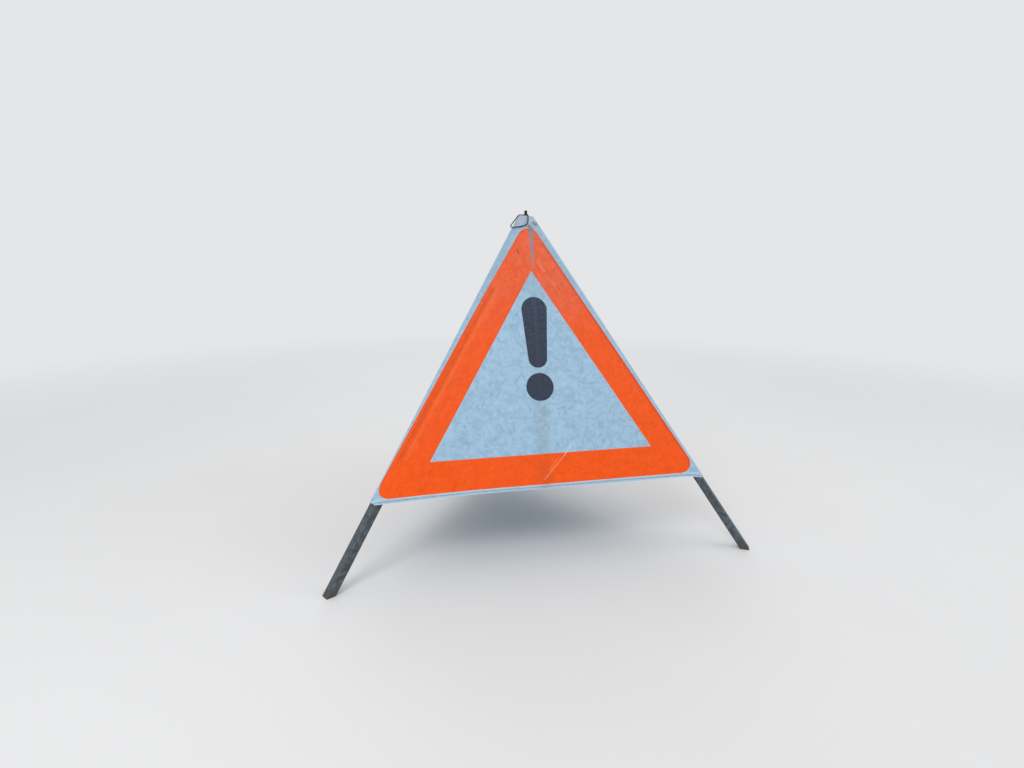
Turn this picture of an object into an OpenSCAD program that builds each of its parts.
// Folding three-sided warning sign: three channel legs hinged on a small head,
// fabric faces with a centre crease, and an umbrella spreader on a centre tube.
// Millimetres. Z up, the sign stands open on Z = 0, one face towards -Y.
// Origin: centre of the whole sign's footprint box.

/* [Main sizes] */
// Side of the fabric pyramid, measured over the fabric from mid leg to mid leg
side_flat = 900; // [600:10:1100]
// Leg length below the fabric's corner, along the leg
leg_extension = 240; // [100:5:300]
// Depth of the flat top below the point where the faces would meet
top_depth = 56; // [45:1:65]
// Depth at which the head cap ends
cap_end_depth = 88; // [75:1:100]

/* [Legs] */
// Width of a leg's web, which faces outwards
web_width = 25; // [20:1:40]
// Depth of a leg's flanges
flange_depth = 20; // [15:1:30]
// Sheet steel thickness of a leg
leg_wall = 1.5; // [1:0.1:3]
// Outer bend radius of the channel
bend_radius = 2.5; // [1.5:0.5:4]

/* [Fabric] */
// Fabric thickness
fabric = 1; // [0.6:0.1:2]
// Gap left between the two halves of a face at its crease
crease_gap = 0.5; // [0.2:0.1:2]
// Gap between a half face and the fabric strip on the leg
seam_gap = 0.1; // [0.05:0.05:0.5]
// Clearance between the cap and the moving legs and fabric, along them
cap_gap = 5; // [5:1:10]

/* [Head] */
// Distance of a leg's pin from the theoretical apex, along the leg
pin_distance = 114; // [100:1:140]
// Depth of the pin below the web's outer surface
pin_depth = 13; // [10:0.5:15]
// Radius of a leg's pin
pin_radius = 3; // [2:0.5:5]
// Thickness of a pin's or rivet's head
pin_head = 1.5; // [1:0.5:3]
// How far a leg pin's head stands out round its shank
pin_lip = 2; // [1:0.5:3]
// Width of a hub lug, between the flanges
lug_width = 18; // [12:1:20]
// Radius of a hub lug's eye
lug_eye = 6.5; // [5:0.5:8]
// Radius of the hub's body
hub_radius = 14; // [12:1:18]
// Drop of the hub's foot below the leg pins
hub_drop = 24; // [20:1:30]
// Height of the hub's body
hub_height = 38; // [32:1:42]
// Depth of the hub's socket for the centre tube
socket_depth = 18; // [12:1:22]
// Radius of the neck that carries the cap
neck_radius = 10; // [8:1:12]
// Wall of the head cap
cap_wall = 2; // [1.5:0.5:4]
// Radius of the peg on top
peg_radius = 4; // [3:0.5:6]
// Radius of the peg's stem, inside the neck
peg_stem = 3; // [2:0.5:4]
// Depth of the neck's socket for the stem
peg_socket = 12; // [8:1:20]
// Height of the peg above the cap
peg_height = 14; // [10:1:25]
// Radius of the collar at the peg's foot, which holds the cord's ends
peg_collar_radius = 6.5; // [5.5:0.5:9]
// Height of that collar
peg_collar_height = 4; // [3:0.5:6]

/* [Spreader] */
// Outer radius of the centre tube
tube_radius = 8; // [6:0.5:12]
// Wall of the centre tube
tube_wall = 1.5; // [1:0.5:3]
// Length of the centre tube below the collar
tube_tail = 8; // [6:1:20]
// Thickness of the plug's floor under the tube
plug_floor = 4; // [2:0.5:8]
// How far the plug stands out round the tube
plug_rim = 3; // [2:0.5:5]
// Height of the plug's core inside the tube
plug_core = 6; // [3:0.5:12]
// Distance of a brace's leg end from the head pin, along the leg
brace_reach = 350; // [250:10:450]
// Radius of the brace pins' circle on the collar
collar_pin_circle = 30; // [26:1:34]
// Slope of a brace when the sign is open, degrees
brace_slope = 35; // [25:1:45]
// Length of the collar's sleeve
collar_length = 30; // [24:1:50]
// Outer radius of the collar's sleeve
collar_radius = 13; // [11:1:18]
// Width of a brace, across its flat
brace_width = 12; // [8:1:16]
// Thickness of a brace
brace_thick = 5; // [3:0.5:6]
// Thickness of a collar cheek
cheek = 2.5; // [2:0.5:4]
// Radius of a collar pin, and of a rivet
collar_pin = 2.5; // [1.5:0.5:4]
// How far a collar pin's or rivet's head stands out round its shank
rivet_lip = 1.5; // [1:0.5:3]
// Reach of a rivet's end inside its flange
rivet_reach = 2.5; // [1:0.5:4]
// Radius of the cross boss at a brace's leg end
boss_radius = 4.5; // [4:0.5:6]

/* [Cord] */
// Diameter of the hanging loop's cord
cord_diameter = 2.8; // [2:0.2:5]

/* [Fits] */
// Radial clearance of a turning or sliding fit
run_fit = 0.06; // [0.01:0.01:0.1]
// Radial clearance of a part that is driven home
drive_fit = 0.02; // [0.01:0.01:0.05]
// Side clearance of a piece between two cheeks
side_fit = 0.3; // [0.1:0.1:1]
// Clearance between the end of a pin and what it stops short of
end_fit = 0.5; // [0.2:0.1:1]

/* [Hidden] */
$fn = 48;
// Overlap of a cut with the open side of what it cuts
over = 1;
leg_azimuths = [90, 210, 330];
side = side_flat + web_width;
edge_lean = asin(1 / sqrt(3));
face_lean = 90 - acos(1 / 3);
cl = cos(edge_lean);
sl = sin(edge_lean);
apex_z = (side + leg_extension) * cl;
hem_z = leg_extension * cl;
web_sink = web_width / 2 / tan(edge_lean);
steel_sink = web_sink + fabric;
pin_sink = steel_sink + pin_depth;
leg_over = pin_distance - (cap_end_depth - web_sink * sl) / cl - cap_gap;
pin_r = pin_distance * sl - pin_sink * cl;
pin_z = apex_z - pin_distance * cl - pin_sink * sl;
foot_r = (side + leg_extension) * sl - steel_sink / cl;
axis_y = -(foot_r - foot_r / 2 - web_width / 2 * cos(30)) / 2;
top_z = apex_z - top_depth;
cap_end_z = apex_z - cap_end_depth;
hem_v = -side * sqrt(3) / 2;
panel_top_v = -(cap_end_depth / cos(face_lean) + cap_gap);
panel_side_gap = (fabric * cl + seam_gap) / sl;
leg_reach_r = pin_r + brace_reach * sl;
leg_reach_z = pin_z - brace_reach * cl;
brace_length = (leg_reach_r - collar_pin_circle) / cos(brace_slope);
collar_z = leg_reach_z + brace_length * sin(brace_slope);
sleeve_low = collar_z - collar_length / 2;
inner_half = web_width / 2 - leg_wall;
neck_top = top_z - cap_wall;
stem_low = neck_top - peg_socket + end_fit;
hub_low = pin_z - hub_drop;
tube_low = sleeve_low - tube_tail;
tube_length = hub_low + socket_depth - tube_low;
collar_half = brace_thick / 2 + side_fit + cheek;
boss_half = inner_half - rivet_reach - end_fit;
cord_r = cord_diameter / 2;

steel = [0.37, 0.42, 0.45];
dark_steel = [0.22, 0.24, 0.26];
white = [0.86, 0.88, 0.92];
orange = [0.96, 0.33, 0.1];
silver = [0.78, 0.8, 0.82];

// Frame of a leg: origin on its head pin, X out through the web, Z up along the leg
module leg_frame(az)
    translate([0, axis_y, 0])
        rotate([0, 0, az])
            translate([pin_r, 0, pin_z])
                rotate([0, -edge_lean, 0])
                    children();

// Frame of a face: origin at the theoretical apex, X along the hem, Y up the face, Z outwards
module face_frame(az)
    translate([0, axis_y, apex_z])
        rotate([0, 0, az])
            rotate([0, -face_lean, 0])
                rotate([90, 0, 90])
                    children();

// Vertical plane through a leg: X outwards from the sign's axis, Y up, extruded across it
module leg_plane(az)
    translate([0, axis_y, 0])
        rotate([0, 0, az])
            rotate([90, 0, 0])
                children();

module across(width)
    translate([0, 0, -width / 2])
        linear_extrude(width)
            children();

module bore_y(x, z, r, length)
    translate([x, length / 2, z])
        rotate([90, 0, 0])
            cylinder(h = length, r = r);

module channel_profile()
    difference() {
        translate([pin_depth - flange_depth, -web_width / 2])
            offset(r = bend_radius, $fn = 16)
                offset(delta = -bend_radius)
                    square([flange_depth, web_width]);
        translate([pin_depth - flange_depth - over, -inner_half])
            square([flange_depth + over - leg_wall, 2 * inner_half]);
    }

module leg(az)
    intersection() {
        leg_frame(az)
            difference() {
                translate([0, 0, leg_over - side - leg_extension])
                    linear_extrude(side + leg_extension)
                        channel_profile();
                bore_y(0, 0, pin_radius + drive_fit, web_width + 2 * over);
                bore_y(0, -brace_reach, collar_pin + drive_fit, web_width + 2 * over);
            }
        translate([-side, -side, 0])
            cube([2 * side, 2 * side, apex_z]);
    }

module leg_cover(az)
    intersection() {
        leg_frame(az)
            translate([pin_depth, -web_width / 2, leg_over - side - leg_extension])
                cube([fabric, web_width, side + leg_extension]);
        translate([-side, -side, hem_z])
            cube([2 * side, 2 * side, apex_z]);
    }

module leg_pin(az)
    leg_frame(az) {
        bore_y(0, 0, pin_radius, web_width + 2 * pin_head);
        for (s = [-1, 1])
            translate([0, s * (web_width + pin_head) / 2, 0])
                bore_y(0, 0, pin_radius + pin_lip, pin_head);
    }

module rivet(az, s)
    leg_frame(az)
        translate([0, 0, -brace_reach])
            rotate([s * 90, 0, 0])
                translate([0, 0, -(web_width / 2 + pin_head)]) {
                    cylinder(h = pin_head, r = collar_pin + rivet_lip);
                    cylinder(h = pin_head + leg_wall + rivet_reach, r = collar_pin);
                }

// Half of a face, from the seam on its leg to the crease; s = 1 is the half towards +X
module half_face(az, s)
    face_frame(az)
        translate([0, 0, -fabric])
            linear_extrude(fabric)
                polygon([
                    [s * crease_gap / 2, panel_top_v],
                    [s * (-panel_top_v * tan(30) - web_width - panel_side_gap / cos(30)), panel_top_v],
                    [s * (-hem_v * tan(30) - web_width - panel_side_gap / cos(30)), hem_v],
                    [s * crease_gap / 2, hem_v]
                ]);

// Space inside the three web planes and the three face planes, shrunk by t
module head_space(t, low, high) {
    face_low = low * tan(face_lean) - t / cos(face_lean);
    face_high = high * tan(face_lean) - t / cos(face_lean);
    web_low = low * tan(edge_lean) - (web_sink + t) / cl;
    web_high = high * tan(edge_lean) - (web_sink + t) / cl;
    translate([0, axis_y, apex_z - low])
        intersection() {
            rotate([0, 0, 90])
                cylinder(h = low - high, r1 = 2 * face_low, r2 = 2 * face_high, $fn = 3);
            rotate([0, 0, -90])
                cylinder(h = low - high, r1 = 2 * web_low, r2 = 2 * web_high, $fn = 3);
        }
}

module head_cap() {
    color(silver)
        difference() {
            head_space(0, cap_end_depth, top_depth);
            head_space(cap_wall, cap_end_depth, top_depth + cap_wall);
            translate([0, axis_y, neck_top - over])
                cylinder(h = cap_wall + 2 * over, r = peg_stem + drive_fit);
        }
}

module hub_arm(az)
    leg_plane(az)
        across(lug_width) {
            translate([pin_r, pin_z])
                circle(r = lug_eye);
            translate([0, pin_z - lug_eye])
                square([pin_r, 2 * lug_eye]);
        }

module head_hub() {
    color(dark_steel)
        difference() {
            union() {
                translate([0, axis_y, hub_low]) {
                    cylinder(h = hub_height, r = hub_radius);
                    cylinder(h = neck_top - hub_low, r = neck_radius);
                }
                for (az = leg_azimuths)
                    hub_arm(az);
            }
            for (az = leg_azimuths)
                leg_plane(az)
                    translate([pin_r, pin_z, -lug_width])
                        cylinder(h = 2 * lug_width, r = pin_radius + run_fit);
            translate([0, axis_y, hub_low - over])
                cylinder(h = socket_depth + over, r = tube_radius + drive_fit);
            translate([0, axis_y, neck_top - peg_socket])
                cylinder(h = peg_socket + over, r = peg_stem + drive_fit);
        }
}

module top_peg() {
    color(dark_steel)
        translate([0, axis_y, 0]) {
            translate([0, 0, top_z]) {
                cylinder(h = peg_height, r = peg_radius);
                cylinder(h = peg_collar_height, r = peg_collar_radius);
            }
            translate([0, 0, stem_low])
                cylinder(h = top_z - stem_low + over, r = peg_stem);
        }
}

module centre_tube() {
    color(steel)
        translate([0, axis_y, tube_low])
            difference() {
                cylinder(h = tube_length, r = tube_radius);
                translate([0, 0, -over])
                    cylinder(h = tube_length + 2 * over, r = tube_radius - tube_wall);
            }
}

module tube_plug() {
    color(dark_steel)
        translate([0, axis_y, tube_low - plug_floor])
            difference() {
                cylinder(h = plug_floor + tube_tail, r = tube_radius + plug_rim);
                translate([0, 0, plug_floor])
                    difference() {
                        cylinder(h = tube_tail + over, r = tube_radius + drive_fit);
                        translate([0, 0, -over])
                            cylinder(h = plug_core + over, r = tube_radius - tube_wall - drive_fit);
                    }
            }
}

// A collar cheek, from inside the sleeve's wall out to its pin
module cheek_outline() {
    root = (tube_radius + collar_radius) / 2;
    translate([collar_pin_circle, collar_z])
        circle(r = brace_width / 2);
    translate([root, collar_z - brace_width / 2])
        square([collar_pin_circle - root, brace_width]);
}

module collar() {
    color(dark_steel)
        difference() {
            union() {
                translate([0, axis_y, sleeve_low])
                    cylinder(h = collar_length, r = collar_radius);
                for (az = leg_azimuths, s = [-1, 1])
                    leg_plane(az)
                        translate([0, 0, s * (collar_half - cheek / 2)])
                            across(cheek)
                                cheek_outline();
            }
            translate([0, axis_y, sleeve_low - over])
                cylinder(h = collar_length + 2 * over, r = tube_radius + run_fit);
            for (az = leg_azimuths)
                leg_plane(az)
                    translate([collar_pin_circle, collar_z, -collar_half - over])
                        cylinder(h = 2 * (collar_half + over), r = collar_pin + drive_fit);
        }
}

module collar_pin_shape(az)
    leg_plane(az) {
        translate([collar_pin_circle, collar_z, -collar_half - pin_head])
            cylinder(h = 2 * (collar_half + pin_head), r = collar_pin);
        for (z = [-collar_half - pin_head, collar_half])
            translate([collar_pin_circle, collar_z, z])
                cylinder(h = pin_head, r = collar_pin + rivet_lip);
    }

module brace(az)
    leg_plane(az)
        translate([collar_pin_circle, collar_z])
            rotate([0, 0, -brace_slope])
                difference() {
                    union() {
                        across(brace_thick) {
                            circle(r = brace_width / 2);
                            translate([0, -brace_width / 2])
                                square([brace_length - boss_radius, brace_width]);
                            translate([brace_length, 0])
                                circle(r = brace_width / 2);
                        }
                        translate([brace_length, 0, -boss_half])
                            cylinder(h = 2 * boss_half, r = boss_radius);
                    }
                    translate([0, 0, -brace_thick])
                        cylinder(h = 2 * brace_thick, r = collar_pin + run_fit);
                }

// Cord loop: out of the peg's collar, down the cap's front, round its left corner and back up
cord_path = [
    [0, -6.8, 2], [0.3, -10, 2], [0.5, -13.8, 2.1], [0.6, -17.4, 2.2], [0.6, -20.8, 1.1],
    [0.5, -22.9, -1.6], [0.3, -23.8, -5.5], [-0.3, -25.9, -11.5], [-1.5, -28, -17.5],
    [-4.2, -29.9, -22.6], [-9, -31.4, -26.4], [-16, -32.6, -28.6], [-24, -33, -30],
    [-32.2, -31.3, -31.2], [-39.3, -27.2, -32], [-44.2, -21.2, -31.8], [-45.8, -15, -29.8],
    [-43.6, -9.8, -25.8], [-38.8, -6.6, -20.2], [-33, -4.6, -13.6], [-27.4, -3.2, -6.8],
    [-22.6, -2.2, -0.9], [-18.4, -1.4, 1.9], [-14, -0.9, 2.3], [-10, -0.5, 2], [-6.8, -0.3, 2]
];
cord_sides = 8;
// A point inside the loop, which every ring of the cord is turned to
cord_middle = [-14, -11, -34];

function unit(v) = v / norm(v);
function cord_ring(i) =
    let (last = len(cord_path) - 1,
        p = cord_path[i],
        t = unit(cord_path[min(i + 1, last)] - cord_path[max(i - 1, 0)]),
        a = unit(cross(t, p - cord_middle)),
        b = cross(a, t))
    [for (k = [0 : cord_sides - 1])
        p + cord_r * (a * cos(360 * k / cord_sides) + b * sin(360 * k / cord_sides))];

module cord_loop() {
    n = len(cord_path);
    m = cord_sides;
    color([0.12, 0.12, 0.13])
        translate([0, axis_y, top_z])
            polyhedron(
                points = [for (i = [0 : n - 1]) each cord_ring(i)],
                faces = concat(
                    [[for (k = [0 : m - 1]) m - 1 - k]],
                    [for (i = [0 : n - 2], k = [0 : m - 1])
                        each [
                            [i * m + k, i * m + (k + 1) % m, (i + 1) * m + k],
                            [i * m + (k + 1) % m, (i + 1) * m + (k + 1) % m, (i + 1) * m + k]
                        ]],
                    [[for (k = [0 : m - 1]) (n - 1) * m + k]]
                )
            );
}

module leg_rear()
    color(steel)
        leg(90);

module leg_left()
    color(steel)
        leg(210);

module leg_right()
    color(steel)
        leg(330);

module cover_rear()
    color(white)
        leg_cover(90);

module cover_left()
    color(white)
        leg_cover(210);

module cover_right()
    color(white)
        leg_cover(330);

module leg_pin_rear()
    color(steel)
        leg_pin(90);

module leg_pin_left()
    color(steel)
        leg_pin(210);

module leg_pin_right()
    color(steel)
        leg_pin(330);

module panel_front_left()
    color(orange)
        half_face(270, -1);

module panel_front_right()
    color(orange)
        half_face(270, 1);

module panel_right_front()
    color(orange)
        half_face(30, -1);

module panel_right_rear()
    color(orange)
        half_face(30, 1);

module panel_left_rear()
    color(orange)
        half_face(150, -1);

module panel_left_front()
    color(orange)
        half_face(150, 1);

module brace_rear()
    color(steel)
        brace(90);

module brace_left()
    color(steel)
        brace(210);

module brace_right()
    color(steel)
        brace(330);

module collar_pin_rear()
    color(steel)
        collar_pin_shape(90);

module collar_pin_left()
    color(steel)
        collar_pin_shape(210);

module collar_pin_right()
    color(steel)
        collar_pin_shape(330);

module rivets_rear_a()
    color(steel)
        rivet(90, 1);

module rivets_rear_b()
    color(steel)
        rivet(90, -1);

module rivets_left_a()
    color(steel)
        rivet(210, 1);

module rivets_left_b()
    color(steel)
        rivet(210, -1);

module rivets_right_a()
    color(steel)
        rivet(330, 1);

module rivets_right_b()
    color(steel)
        rivet(330, -1);

head_hub();
head_cap();
top_peg();
cord_loop();
centre_tube();
tube_plug();
collar();
leg_rear();
leg_left();
leg_right();
cover_rear();
cover_left();
cover_right();
leg_pin_rear();
leg_pin_left();
leg_pin_right();
panel_front_left();
panel_front_right();
panel_right_front();
panel_right_rear();
panel_left_rear();
panel_left_front();
brace_rear();
brace_left();
brace_right();
collar_pin_rear();
collar_pin_left();
collar_pin_right();
rivets_rear_a();
rivets_rear_b();
rivets_left_a();
rivets_left_b();
rivets_right_a();
rivets_right_b();
